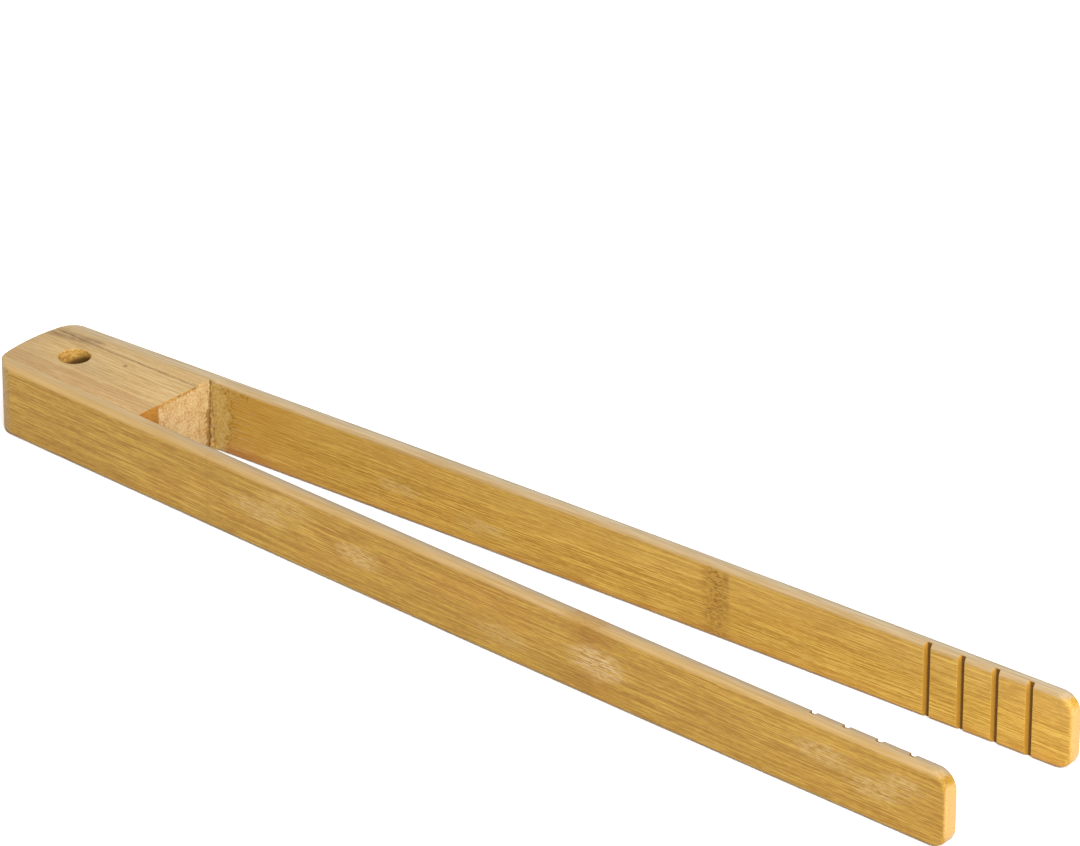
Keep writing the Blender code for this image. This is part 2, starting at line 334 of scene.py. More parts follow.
def straight_bar(name, side):
    """A planed strip with rounded edges and a rounded tip, as a subdivided box: a mesh in metres."""
    end_wear, head_taper, film_gap = 0.3, 12.0, 0.15
    wear = np.linspace(0.0, math.pi / 2, 4)
    tip = np.linspace(0.0, math.pi / 2, 13)
    plain = arm_stations()
    tip_start = np.full(len(tip), LENGTH - TIP_CORNER_RADIUS)
    base = np.concatenate([end_wear * (1 - np.cos(wear)), plain, tip_start])
    head_inset = np.concatenate([end_wear * (1 - np.sin(wear)), np.zeros(len(plain) + len(tip))])
    theta = np.concatenate([np.zeros(len(wear) + len(plain)), tip])

    arc = np.linspace(0.0, math.pi / 2, 7)
    flat = np.linspace(0.0, 1.0, 5)[1:-1]
    up = np.linspace(-1.0, 1.0, 27)
    rows, cols, layers = len(base), 2 * len(arc) + len(flat), len(up)

    wander = np.array([noise.noise(Vector((s * 0.05, side * 3.7, 0.0))) for s in base])
    outer_radius = EDGE_RADIUS + 0.10 * wander
    eased = np.clip((base - BLOCK_LENGTH + 0.2) / 2.5, 0.0, 1.0)
    eased = eased * eased * (3 - 2 * eased)
    free_radius = INNER_EDGE_RADIUS[side] * (1 + 0.15 * wander)
    inner_radius = GLUED_EDGE_RADIUS + (free_radius - GLUED_EDGE_RADIUS) * eased

    across = np.zeros((rows, cols))
    inset = np.zeros((rows, cols))
    inner, outer = inner_radius[:, None], outer_radius[:, None]
    across[:, :len(arc)] = inner * (1 - np.cos(arc))
    inset[:, :len(arc)] = inner * (1 - np.sin(arc))
    across[:, -len(arc):] = ARM_THICKNESS - outer * (1 - np.cos(arc[::-1]))
    inset[:, -len(arc):] = outer * (1 - np.sin(arc[::-1]))
    across[:, len(arc):-len(arc)] = inner + flat * (ARM_THICKNESS - inner - outer)

    corner = TIP_CORNER_RADIUS - inset
    in_tip = (theta > 0)[:, None]
    turned = theta[:, None]
    tip_half = ARM_WIDTH / 2 - TIP_CORNER_RADIUS + corner * np.cos(turned)
    half = np.where(in_tip, tip_half, ARM_WIDTH / 2 - inset)
    half = half - head_inset[:, None]
    station = base[:, None] + np.where(in_tip, corner * np.sin(turned), 0.0)
    fade = np.clip(1 - base[:, None] / head_taper, 0.0, 1.0)
    station = station + fade * head_end_at(ARM_INNER_AT_HEAD + film_gap + across)

    grid = np.zeros((rows, cols, layers, 3))
    grid[..., 0] = station[:, :, None]
    grid[..., 1] = across[:, :, None]
    grid[..., 2] = ARM_WIDTH / 2 + up * half[:, :, None]
    return box_mesh(name, grid)


def box_mesh(name, grid):
    """The skin of a three-way grid of points, in millimetres, as a closed mesh in metres."""
    rows, cols, layers = grid.shape[:3]
    skin = np.zeros((rows, cols, layers), bool)
    skin[[0, -1]] = skin[:, [0, -1]] = skin[:, :, [0, -1]] = True
    number = np.full(skin.shape, -1)
    number[skin] = np.arange(skin.sum())
    sheets = [number[0], number[-1][:, ::-1], number[:, 0][:, ::-1], number[:, -1]]
    sheets += [number[:, :, 0], number[:, :, -1][:, ::-1]]
    faces = []
    for sheet in sheets:
        a, b, c, d = sheet[:-1, :-1], sheet[:-1, 1:], sheet[1:, 1:], sheet[1:, :-1]
        faces += np.stack([a, b, c, d], axis=-1).reshape(-1, 4).tolist()
    points = grid[skin]
    mesh = bpy.data.meshes.new(name)
    mesh.from_pydata((points * MM).tolist(), [], faces)
    mark_grain(mesh, points)
    return mesh


def mark_grain(mesh, points):
    """Keeps each point's place in the straight wood, so that the grain stays put as it bends."""
    grain = mesh.attributes.new("grain", 'FLOAT_VECTOR', 'POINT')
    grain.data.foreach_set("vector", np.asarray(points, np.float32).ravel())


def shade_smooth(mesh, angle):
    mesh.shade_smooth()
    mesh.set_sharp_from_angle(angle=math.radians(angle))


# --- Shape of the block ---------------------------------------------------------------------

def plan_plate(name, outlines, low, high, rim):
    """Outlines in plan, the first round the others, made a plate with softened rims."""
    curve = bpy.data.curves.new(name, 'CURVE')
    curve.dimensions = '2D'
    curve.fill_mode = 'BOTH'
    curve.extrude = (high - low) / 2 - rim
    curve.bevel_depth = rim
    curve.bevel_resolution = 2
    curve.offset = -rim
    for outline in outlines:
        spline = curve.splines.new('POLY')
        spline.points.add(len(outline) - 1)
        for point, (x, y) in zip(spline.points, outline):
            point.co = (x, y, 0.0, 1.0)
        spline.use_cyclic_u = True
    guide = bpy.data.objects.new(name, curve)
    bpy.context.scene.collection.objects.link(guide)
    graph = bpy.context.evaluated_depsgraph_get()
    mesh = bpy.data.meshes.new_from_object(guide.evaluated_get(graph))
    bpy.data.objects.remove(guide, do_unlink=True)
    bpy.data.curves.remove(curve)
    face_outwards(mesh, PLATE_SAME_POINT)
    points = np.array([vert.co for vert in mesh.vertices])
    points[:, 2] += (low + high) / 2
    mark_grain(mesh, points)
    in_place = (points - (LENGTH / 2, 0.0, 0.0)) * MM
    mesh.vertices.foreach_set("co", in_place.astype(np.float32).ravel())
    mesh.update()
    thing = bpy.data.objects.new(name, mesh)
    mesh.name = name
    bpy.context.scene.collection.objects.link(thing)
    return thing


def flank_at(station, gap):
    """The block's tapering flank, a gap in from the arm's inner face."""
    return ARM_INNER_AT_HEAD + HEAD_FLARE * station - gap


def strip_outline(low_at, high_at, end, steps=24):
    """A strip's outline in plan, between two lines, from the rounded head end to the open end."""
    low, high = low_at(0.0), high_at(0.0)
    head = []
    for i in range(steps + 1):
        y = low + (high - low) * i / steps
        x = HEAD_END_RADIUS - math.sqrt(HEAD_END_RADIUS ** 2 - y ** 2)
        head.append((x, y))
    return head[::-1] + [(end, low_at(end)), (end, high_at(end))]


def hole_outline():
    steps = 96
    radius = HOLE_DIAMETER / 2
    points = []
    for i in range(steps):
        angle = 2 * math.pi * i / steps
        points.append((HOLE_STATION + radius * math.cos(angle), radius * math.sin(angle)))
    return points


# --- Finishes -------------------------------------------------------------------------------

def shade(red, green, blue, tint=(1.0, 1.0, 1.0)):
    """A colour as it should look in the room, 0 to 255, mixed as the shader wants it."""
    def linear(value):
        value = value / 255
        return value / 12.92 if value <= 0.04045 else ((value + 0.055) / 1.055) ** 2.4
    mixed = [linear(value) * share / ROOM_BRIGHTNESS for value, share in zip((red, green, blue), tint)]
    return (*mixed, 1.0)


class Wood(Wiring):
    """A bamboo finish in the making: its colour, roughness and relief, mark by mark."""

    def __init__(self, name):
        self.material = bpy.data.materials.new(name)
        self.material.use_nodes = True
        super().__init__(self.material.node_tree)
        self.grain = self.put("ShaderNodeAttribute", attribute_name="grain").outputs["Vector"]
        self.station, self.across, self.height = self.split(self.grain)
        sway = self.minus(self.noise(self.scaled(self.grain, (0.016, 0.09, 0.09)), 1.0, 1.0), 0.5)
        self.swayed = self.join(
            self.station,
            self.plus(self.across, self.times(sway, 0.6)),
            self.plus(self.height, self.times(sway, 1.0)))

    def fibres(self, length, width, detail=2.0, roughness=0.55):
        """Streaks of about this length and width, in millimetres."""
        stretched = self.scaled(self.swayed, (1 / length, 1 / width, 1 / width))
        return self.noise(stretched, 1.0, detail, roughness)

    def specks(self, length, width, start, end):
        return self.ramp(self.fibres(length, width, 4.0, 0.65), start, end)

    def streaked(self, mask, length, width, detail, start, end):
        """A mask broken up along the fibres."""
        return self.times(mask, self.ramp(self.fibres(length, width, detail), start, end))

    def paint(self, mask, strength, colour):
        self.colour = self.mix(self.times(mask, strength), self.colour, colour)

    def spot(self, station, height, half_length, half_height, ragged=0.0):
        """A soft-edged oval mask on a broad face."""
        along = self.times(self.minus(self.station, station), 1 / half_length)
        up = self.times(self.minus(self.height, height), 1 / half_height)
        away = self.math('SQRT', self.plus(self.times(along, along), self.times(up, up)))
        if ragged:
            away = self.plus(away, self.drift(self.fibres(5.0, 1.2, 3.0), ragged))
        return self.ramp(away, 0.35, 1.1, 1.0, 0.0)

    def planed(self, light, middle, dark, warm, pale, gloss):
        """The planed strip itself: long threads, short dashes, dark bundles, slow changes of tone."""
        thread = self.fibres(60.0, 0.15)
        dash = self.fibres(9.0, 0.14)
        pore = self.fibres(1.8, 0.13, 1.0)
        tone = self.fibres(45.0, 1.2)
        blotch = self.noise(self.scaled(self.grain, (0.035, 0.13, 0.13)), 1.0, 2.0)
        cloud = self.noise(self.scaled(self.grain, (0.055, 0.17, 0.17)), 1.0, 2.0)
        bundled = self.scaled(self.swayed, (0.03, 2.2, 2.2))
        bundle = self.put("ShaderNodeTexVoronoi", {"Vector": bundled, "Scale": 1.0})
        strand = self.ramp(bundle.outputs["Distance"], 0.08, 0.34, 1.0, 0.0)
        strand = self.times(strand, self.ramp(self.split(bundle.outputs["Color"])[0], 0.3, 0.9))
        self.colour = self.mix(self.ramp(tone, 0.15, 0.85), middle, light)
        self.paint(self.ramp(blotch, 0.50, 0.72), 0.5, warm)
        self.paint(self.ramp(thread, 0.47, 0.60), 1.00, dark)
        self.paint(self.ramp(thread, 0.46, 0.34), 0.60, pale)
        self.paint(self.ramp(dash, 0.49, 0.61), 0.90, dark)
        self.paint(self.ramp(dash, 0.45, 0.34), 0.50, pale)
        self.paint(self.ramp(pore, 0.52, 0.70), 0.50, dark)
        self.paint(self.ramp(pore, 0.47, 0.30), 0.40, pale)
        self.paint(strand, 0.25, dark)
        hazy = self.times(self.ramp(cloud, 0.56, 0.72), self.ramp(dash, 0.55, 0.40))
        self.paint(hazy, 0.6, pale)
        self.rough = self.plus(gloss, self.times(self.plus(thread, dash), 0.10))
        ridges = self.plus(self.times(thread, 0.5), self.times(dash, 0.3))
        self.relief = self.minus(ridges, self.times(strand, 0.5))

    def finish(self):
        shader = self.put("ShaderNodeBsdfPrincipled", {
            "Base Color": self.colour, "Roughness": self.rough,
            "IOR": 1.48, "Specular IOR Level": 0.2})
        bump = self.put("ShaderNodeBump", {"Height": self.relief, "Strength": 0.4, "Distance": 0.07 * MM})
        self.feed(shader.inputs["Normal"], bump.outputs[0])
        self.put("ShaderNodeOutputMaterial", {0: shader.outputs[0]})
        return self.material


def arm_wood(name, tint, edges, greyed, mellow):
    """An arm's finish before its own marks: faces, paler planed edges, end grain.

    The top edge is greyed about one line along it: a distance across the arm, and half its width.
    It is warmer on the other side, and by the block as far as mellow says.
    """
    wood = Wood(name)
    wood.planed(
        light=shade(204, 166, 80, tint), middle=shade(192, 152, 66, tint), dark=shade(160, 116, 32, tint),
        warm=shade(206, 148, 62, tint), pale=shade(218, 184, 108, tint), gloss=0.36)
    upper = wood.ramp(wood.height, ARM_WIDTH - 1.15, ARM_WIDTH - 0.3)
    lower = wood.ramp(wood.height, 0.6, 0.2)
    edge = wood.math('MAXIMUM', upper, lower)
    streaks = wood.ramp(wood.fibres(12.0, 0.25, 3.0), 0.38, 0.62)
    wood.paint(edge, 0.85, wood.mix(streaks, *edges))
    line, half_width = greyed
    on_top = wood.ramp(wood.height, ARM_WIDTH - 1.2, ARM_WIDTH - 0.5)
    from_line = wood.math('ABSOLUTE', wood.minus(wood.across, line))
    near_side = wood.times(on_top, wood.ramp(from_line, 1.3, 3.0))
    wood.paint(near_side, 0.4, shade(206, 162, 88))
    by_block = wood.times(on_top, wood.ramp(wood.station, BLOCK_LENGTH + 25.0, BLOCK_LENGTH - 10.0))
    wood.paint(by_block, mellow, shade(217, 177, 108))
    grey = wood.band(wood.across, line, half_width, half_width * 0.6)
    grey = wood.times(grey, wood.ramp(wood.station, BLOCK_LENGTH, BLOCK_LENGTH + 40.0))
    wood.paint(wood.times(grey, on_top), 0.75, shade(166, 152, 134))
    # Painted shade: a dark band along the lower rounded edge, where the arm meets the floor
    painted_underside_shade = wood.band(wood.height, 0.3, 0.3, 0.2)
    wood.paint(painted_underside_shade, 0.75, shade(112, 78, 30))
    tip = wood.ramp(wood.station, LENGTH - 0.75, LENGTH - 0.15)
    dots = wood.ramp(wood.noise(wood.grain, 2.4, 3.0), 0.52, 0.66)
    wood.paint(tip, 0.8, wood.mix(wood.times(dots, 0.6), shade(224, 180, 108), shade(190, 134, 60)))
    return wood


def sawn_cuts(wood, walls):
    """Torn, dull wood in the grip cuts: orange on the head's side, painted shade on the floor and tip's side.
    """
    sawn = wood.put("ShaderNodeAttribute", attribute_name="sawn").outputs["Fac"]
    torn = wood.noise(wood.grain, 2.4, 4.0, 0.7)
    wood.paint(wood.ramp(sawn, 0.02, 0.12), 1.0, wood.mix(torn, *walls))
    ragged = wood.plus(sawn, wood.drift(torn, 0.9))
    pitches = wood.times(wood.minus(wood.station, LENGTH - CUT_FROM_TIP), 1 / CUT_PITCH)
    off_middle = wood.drift(wood.math('FRACT', wood.plus(pitches, 0.5)), CUT_PITCH)
    # Painted shade: the cut's floor and its wall on the tip's side are painted dark
    tip_side = wood.ramp(wood.plus(off_middle, wood.drift(torn, 0.5)), -0.56, -0.28)
    painted_cut_shade = wood.times(wood.ramp(ragged, 0.46, 0.76), tip_side)
    wood.paint(painted_cut_shade, 1.0, wood.mix(torn, shade(96, 64, 18), shade(146, 100, 36)))
    wood.rough = wood.plus(wood.rough, wood.times(sawn, 0.35))
    wood.relief = wood.plus(wood.relief, wood.times(wood.times(torn, sawn), 2.0))


def left_arm_finish():
    # The left arm's tint is partly its own tone and partly painted light: mixed lighter to make up for the
    # shade the right arm casts on its inner face
    wood = arm_wood(
        "left_arm_bamboo", tint=(1.32, 1.26, 0.76), edges=(shade(218, 202, 174), shade(190, 168, 131)),
        greyed=(ARM_THICKNESS, 0.9), mellow=0.0)
    inner = wood.ramp(wood.across, 0.4, 1.6, 1.0, 0.0)
    inner = wood.times(inner, wood.ramp(wood.height, ARM_WIDTH - 0.3, ARM_WIDTH - 1.1))
    past_block = wood.times(inner, wood.ramp(wood.station, 41.0, 47.0))
    # Painted light: the inner face is painted lighter towards the top
    wood.paint(wood.times(inner, wood.ramp(wood.height, 6.0, 14.0)), 0.22, shade(228, 186, 110))
    wood.paint(wood.times(inner, wood.ramp(wood.station, 78.0, 44.0)), 0.40, shade(220, 162, 62))
    ripple = wood.drift(wood.fibres(26.0, 0.5, 3.0), 5.0)
    low = wood.ramp(wood.plus(wood.height, ripple), 0.6, 3.0, 1.0, 0.0)
    wood.paint(wood.times(low, past_block), 0.28, shade(200, 128, 30))
    burnt = wood.times(wood.ramp(wood.height, 2.6, 1.6), wood.ramp(wood.station, 62.0, 44.0))
    wood.paint(wood.times(burnt, past_block), 0.7, shade(184, 106, 20))
    drop = wood.times(wood.minus(wood.station, 44.0), 0.12)
    scorched = wood.band(wood.plus(wood.height, drop), 12.4, 1.3, 1.0)
    scorched = wood.times(wood.times(scorched, past_block), wood.ramp(wood.station, 66.0, 50.0))
    wood.paint(wood.streaked(scorched, 9.0, 0.4, 2.0, 0.40, 0.60), 0.5, shade(186, 118, 30))

    shift = wood.drift(wood.noise(wood.scaled(wood.swayed, (0.3, 0.5, 0.5)), 1.0, 3.0), 4.0)
    ring = wood.band(wood.plus(wood.station, shift), 166.8, 2.3, 1.8)
    ring = wood.times(ring, wood.ramp(wood.height, ARM_WIDTH - 0.4, ARM_WIDTH - 1.3))
    ring = wood.times(ring, wood.ramp(wood.noise(wood.grain, 0.22, 3.0), 0.24, 0.44))
    wood.paint(ring, 0.45, shade(190, 138, 26))
    wood.paint(wood.times(ring, wood.specks(1.3, 0.35, 0.46, 0.58)), 0.85, shade(144, 94, 8))
    wood.paint(wood.times(ring, wood.specks(1.0, 0.30, 0.56, 0.64)), 0.5, shade(222, 182, 104))
    brow = wood.band(wood.plus(wood.station, wood.times(shift, 0.3)), 169.6, 0.7, 0.6)
    brow = wood.times(brow, wood.ramp(wood.height, 2.0, 8.0))
    brow = wood.times(brow, wood.ramp(wood.height, ARM_WIDTH - 0.4, ARM_WIDTH - 1.3))
    brow = wood.times(brow, wood.ramp(wood.noise(wood.grain, 0.9, 3.0), 0.3, 0.5))
    wood.paint(brow, 0.35, shade(140, 94, 24))

    off_middle = wood.times(wood.minus(wood.height, 7.5), 1 / 7.5)
    bulge = wood.times(wood.times(off_middle, off_middle), 2.6)
    wobble = wood.drift(wood.noise(wood.grain, 0.45, 4.0, 0.7), 7.0)
    edge_of_smear = wood.plus(wood.plus(wood.station, bulge), wobble)
    smear = wood.times(inner, wood.ramp(edge_of_smear, 44.2, 46.2, 1.0, 0.0))
    speckled = wood.ramp(wood.noise(wood.grain, 1.6, 3.0, 0.7), 0.35, 0.65)
    wood.paint(smear, 0.75, wood.mix(speckled, shade(206, 166, 78), shade(240, 210, 138)))
    tide = wood.times(inner, wood.band(edge_of_smear, 46.0, 1.0, 0.8))
    wood.paint(wood.times(tide, wood.specks(0.8, 0.5, 0.48, 0.58)), 0.7, shade(140, 96, 26))
    streaky = wood.times(inner, wood.band(edge_of_smear, 48.5, 3.5, 2.0))
    wood.paint(wood.streaked(streaky, 5.0, 0.35, 3.0, 0.5, 0.62), 0.55, shade(216, 184, 116))
    spatter = wood.times(wood.band(wood.height, 14.2, 0.8, 0.5), wood.band(wood.station, 46.5, 5.0, 2.5))
    spatter = wood.times(wood.times(spatter, inner), wood.specks(0.8, 0.5, 0.48, 0.58))
    wood.paint(spatter, 0.5, shade(144, 98, 30))
    for station, height in ((88.7, 6.7), (110.0, 5.0)):
        haze = wood.times(wood.spot(station, height, 7.0, 2.0, 1.2), inner)
        wood.paint(wood.streaked(haze, 2.0, 0.25, 3.0, 0.40, 0.58), 0.5, shade(222, 188, 128))
    sawn_cuts(wood, (shade(190, 132, 34), shade(214, 162, 62)))
    return wood.finish()


def right_arm_finish():
    # The right arm's tint is partly its own darker tone and partly painted shade: mixed darker because its
    # outer face takes more light
    wood = arm_wood(
        "right_arm_bamboo", tint=(1.0, 0.92, 0.49), edges=(shade(218, 191, 147), shade(196, 163, 110)),
        greyed=(0.0, 1.05), mellow=0.35)
    outer = wood.ramp(wood.across, ARM_THICKNESS - 1.2, ARM_THICKNESS - 0.4)
    slant = wood.plus(wood.station, wood.times(wood.height, 0.25))
    shift = wood.drift(wood.noise(wood.scaled(wood.swayed, (0.2, 0.4, 0.4)), 1.0, 3.0), 7.0)
    ring = wood.band(wood.plus(slant, shift), 166.8, 4.6, 3.0)
    wood.paint(ring, 0.4, shade(182, 130, 30))
    wood.paint(wood.times(ring, wood.specks(2.2, 0.35, 0.48, 0.62)), 0.4, shade(150, 100, 18))
    scuff = wood.times(wood.spot(165.8, 7.8, 8.2, 3.9, 0.5), outer)
    wood.paint(wood.streaked(scuff, 2.6, 0.16, 2.0, 0.42, 0.52), 0.9, shade(226, 195, 136))
    wood.paint(wood.streaked(scuff, 2.2, 0.16, 2.0, 0.54, 0.62), 0.55, shade(150, 98, 30))
    for station, height, half_length, half_height in ((164.5, 13.0, 7.5, 2.4), (161.0, 3.0, 6.0, 2.6)):
        smoked = wood.times(wood.spot(station, height, half_length, half_height, 0.8), outer)
        wood.paint(wood.streaked(smoked, 3.0, 0.24, 3.0, 0.42, 0.6), 0.7, shade(152, 100, 12))
    line = wood.times(wood.band(wood.plus(wood.station, wood.times(shift, 0.1)), 62.6, 0.35, 0.3), outer)
    wood.paint(line, 0.14, shade(148, 104, 40))
    for station, height, length, strength in (
            (76.5, 8.5, 9.0, 0.5), (104.0, 8.1, 7.0, 0.6), (84.0, 12.0, 8.0, 0.35),
            (221.0, 9.5, 9.0, 0.5), (233.0, 7.0, 8.0, 0.55), (240.0, 10.0, 6.0, 0.5), (141.0, 5.0, 9.0, 0.3)):
        haze = wood.times(wood.spot(station, height, length, 2.8, 0.8), outer)
        wood.paint(wood.streaked(haze, 1.8, 0.22, 3.0, 0.38, 0.60), strength, shade(222, 190, 128))
    sawn_cuts(wood, (shade(130, 88, 36), shade(180, 128, 56)))
    return wood.finish()


def block_wood(name, faces, ends):
    """A block strip's finish: pale planed faces and an end grain of its own.

    Faces are five colours: light, middle, dark, warm and pale. Ends are three: pale, deep and dots.
    """
    wood = Wood(name)
    wood.planed(*faces, gloss=0.38)
    wood.open_end = wood.ramp(wood.station, BLOCK_LENGTH - 0.12, BLOCK_LENGTH - 0.03)
    rounding = wood.times(wood.times(wood.across, wood.across), 0.5 / HEAD_END_RADIUS)
    head_end = wood.ramp(wood.minus(wood.station, rounding), 0.14, 0.05)
    sawn_end = wood.math('MAXIMUM', wood.open_end, head_end)
    pale, deep, dot = ends
    mealy = wood.plus(wood.noise(wood.grain, 2.0, 4.0, 0.7), wood.times(wood.noise(wood.grain, 0.4), 0.4))
    wood.paint(sawn_end, 1.0, wood.mix(wood.ramp(mealy, 0.56, 0.86), pale, deep))
    bundles = wood.put("ShaderNodeTexVoronoi", {"Vector": wood.grain, "Scale": 1.5})
    dots = wood.ramp(bundles.outputs["Distance"], 0.14, 0.34, 1.0, 0.0)
    dots = wood.times(dots, wood.ramp(wood.split(bundles.outputs["Color"])[1], 0.30, 0.70))
    wood.paint(wood.times(sawn_end, dots), 0.6, dot)
    wood.rough = wood.plus(wood.rough, wood.times(sawn_end, 0.2))
    wood.relief = wood.minus(wood.relief, wood.times(wood.times(dots, sawn_end), 0.8))
    return wood


def stain(wood, start, end, half_width, softness, strength, colour):
    """A stain along a line on the block's faces, from one place in plan to another."""
    slope = (end[1] - start[1]) / (end[0] - start[0])
    line = wood.plus(start[1], wood.times(wood.minus(wood.station, start[0]), slope))
    wander = wood.drift(wood.noise(wood.scaled(wood.grain, (0.35, 0.1, 0.0)), 1.0, 3.0), 0.8)
    mask = wood.band(wood.minus(wood.across, line), wander, half_width, softness)
    mask = wood.times(mask, wood.ramp(wood.station, start[0] - 1.5, start[0] + 1.0))
    mask = wood.times(mask, wood.ramp(wood.station, end[0] + 1.5, end[0] - 1.0))
    mask = wood.times(mask, wood.minus(1.0, wood.open_end))
    patchy = wood.ramp(wood.noise(wood.scaled(wood.grain, (0.5, 1.6, 1.6)), 1.0, 3.0), 0.3, 0.6, 0.45, 1.0)
    wood.paint(wood.times(mask, patchy), strength, colour)


def core_finish():
    wood = block_wood(
        "core_bamboo",
        (shade(231, 196, 136), shade(221, 184, 122), shade(198, 158, 94),
         shade(220, 175, 115), shade(234, 204, 150)),
        (shade(232, 198, 142), shade(204, 160, 98), shade(156, 104, 46)))
    lower = wood.ramp(wood.height, ARM_WIDTH / 2 + 1.0, ARM_WIDTH / 2)
    stain(wood, (0.5, 4.9), (13.0, 7.2), 0.9, 0.9, 0.75, shade(142, 104, 56))
    stain(wood, (13.0, 6.3), (41.0, 6.2), 0.28, 0.35, 0.62, shade(134, 96, 44))
    wood.paint(wood.times(lower, wood.band(wood.across, -3.0, 0.22, 0.2)), 0.5, shade(140, 92, 40))

    off_axis = wood.minus(wood.station, HOLE_STATION)
    away = wood.math('SQRT', wood.plus(wood.times(off_axis, off_axis), wood.times(wood.across, wood.across)))
    # The bore's torn wall: its own torn colour, painted brighter as painted light
    bore = wood.ramp(away, HOLE_DIAMETER / 2 + 0.30, HOLE_DIAMETER / 2 + 0.10, 0.0, 1.0)
    torn = wood.noise(wood.grain, 1.6, 4.0, 0.7)
    wood.paint(bore, 0.9, wood.mix(wood.ramp(torn, 0.35, 0.65), shade(176, 118, 40), shade(240, 190, 96)))
    # Painted shade in the bore: darker deeper down and towards one side
    shaded_side = wood.plus(wood.times(off_axis, 0.38), wood.times(wood.across, 0.32))
    depth = wood.plus(wood.minus(ARM_WIDTH, wood.height), wood.times(shaded_side, 0.8))
    depth = wood.plus(depth, wood.drift(torn, 1.2))
    wood.paint(wood.times(bore, wood.ramp(depth, 1.5, 2.7)), 0.85, shade(92, 62, 20))
    dot = wood.spot(23.3, ARM_WIDTH, 0.6, 2.0)
    dot = wood.times(dot, wood.band(wood.across, 3.6, 0.35, 0.25))
    wood.paint(dot, 0.7, shade(140, 92, 50))

    chipped = wood.plus(wood.height, wood.drift(wood.noise(wood.grain, 0.9, 4.0, 0.7), 3.2))
    chips = wood.times(wood.open_end, wood.ramp(chipped, ARM_WIDTH - 1.0, ARM_WIDTH - 0.5))
    splits = wood.ramp(wood.noise(wood.grain, 1.3, 3.0), 0.5, 0.6)
    wood.paint(chips, 0.8, wood.mix(splits, shade(206, 152, 62), shade(150, 98, 34)))
    freckled = wood.times(wood.open_end, wood.ramp(wood.across, 0.0, -4.0))
    wood.paint(wood.times(freckled, wood.specks(1.0, 0.5, 0.5, 0.6)), 0.7, shade(190, 124, 58))
    return wood.finish()


def left_strip_finish():
    wood = block_wood(
        "left_strip_bamboo",
        (shade(229, 195, 138), shade(221, 185, 126), shade(200, 160, 97),
         shade(219, 175, 117), shade(232, 203, 150)),
        (shade(226, 192, 134), shade(198, 152, 86), shade(148, 98, 40)))
    stain(wood, (0.5, 6.4), (13.0, 7.8), 0.8, 0.9, 0.7, shade(142, 104, 60))
    glued = wood.plus(wood.across, wood.drift(wood.noise(wood.grain, 0.8, 4.0, 0.7), 5.0))
    glued = wood.plus(glued, wood.times(wood.height, -0.07))
    wood.paint(wood.times(wood.open_end, wood.ramp(glued, 8.2, 9.0)), 0.8, shade(150, 104, 36))
    return wood.finish()


def right_strip_finish():
    wood = block_wood(
        "right_strip_bamboo",
        (shade(223, 184, 124), shade(213, 171, 112), shade(193, 150, 90),
         shade(212, 165, 109), shade(228, 194, 142)),
        (shade(196, 134, 46), shade(174, 112, 36), shade(138, 86, 26)))
    return wood.finish()


def glue_finish():
    material = bpy.data.materials.new("dried_glue")
    material.use_nodes = True
    wiring = Wiring(material.node_tree)
    place = wiring.put("ShaderNodeTexCoord").outputs["Object"]
    blot = wiring.noise(place, 1100.0, 4.0, 0.65)
    colour = wiring.mix(wiring.ramp(blot, 0.36, 0.62), shade(138, 98, 34), shade(202, 156, 72))
    rough = wiring.ramp(blot, 0.3, 0.7, 0.35, 0.6)
    shader = wiring.put("ShaderNodeBsdfPrincipled", {"Base Color": colour, "Roughness": rough})
    bump = wiring.put("ShaderNodeBump", {"Height": blot, "Strength": 0.6, "Distance": 0.1 * MM})
    wiring.feed(shader.inputs["Normal"], bump.outputs[0])
    wiring.put("ShaderNodeOutputMaterial", {0: shader.outputs[0]})
    return material


# --- Glue and splinters ---------------------------------------------------------------------

def bead_tree():
    """Glue squeezed out along a line: a lumpy cord, flattened against the arm and the block."""
    tree, wiring, size = shape_tree("squeezed_glue", {
        **ARM_SIZES, "Thin": 0.12 * MM, "Thick": 0.95 * MM, "Height": ARM_WIDTH * MM,
        "Clearance": 0.03 * MM, "Seed": 0.0})
    curve = wiring.put("GeometryNodeMeshToCurve", {0: size["Geometry"]}).outputs[0]
    position = wiring.put("GeometryNodeInputPosition").outputs[0]
    station, outward, height = wiring.split(position)
    share = wiring.math('DIVIDE', height, size["Height"])
    lumps = wiring.noise(wiring.join(size["Seed"], 0.0, wiring.times(height, 450.0)), 1.0, 3.0)
    width = wiring.ramp(share, 0.0, 1.0, size["Thick"], size["Thin"])
    width = wiring.times(width, wiring.ramp(lumps, 0.30, 0.68, 0.5, 1.2))
    ring = wiring.put("GeometryNodeCurvePrimitiveCircle", {"Resolution": 16, "Radius": 1.0}).outputs[0]
    tube = wiring.put("GeometryNodeCurveToMesh", {"Curve": curve, "Profile Curve": ring, "Fill Caps": True})
    wiring.feed(tube.inputs["Scale"], width)
    drift = wiring.noise(wiring.scaled(position, (1500.0, 1500.0, 1500.0)), 1.0, 2.0)
    drift = wiring.drift(drift, 0.25 * MM)
    nearest = wiring.plus(size["Block Length"], size["Clearance"])
    station = wiring.math('MAXIMUM', wiring.plus(station, drift), nearest)
    outward = wiring.math('MINIMUM', wiring.plus(outward, drift), wiring.times(size["Clearance"], -1.0))
    moved = wiring.put("GeometryNodeSetPosition", {"Geometry": tube.outputs[0]})
    wiring.feed(moved.inputs["Position"], bend_onto_arm(wiring, size, wiring.join(station, outward, height)))
    end_tree(wiring, moved.outputs[0], size["Finish"])
    return tree


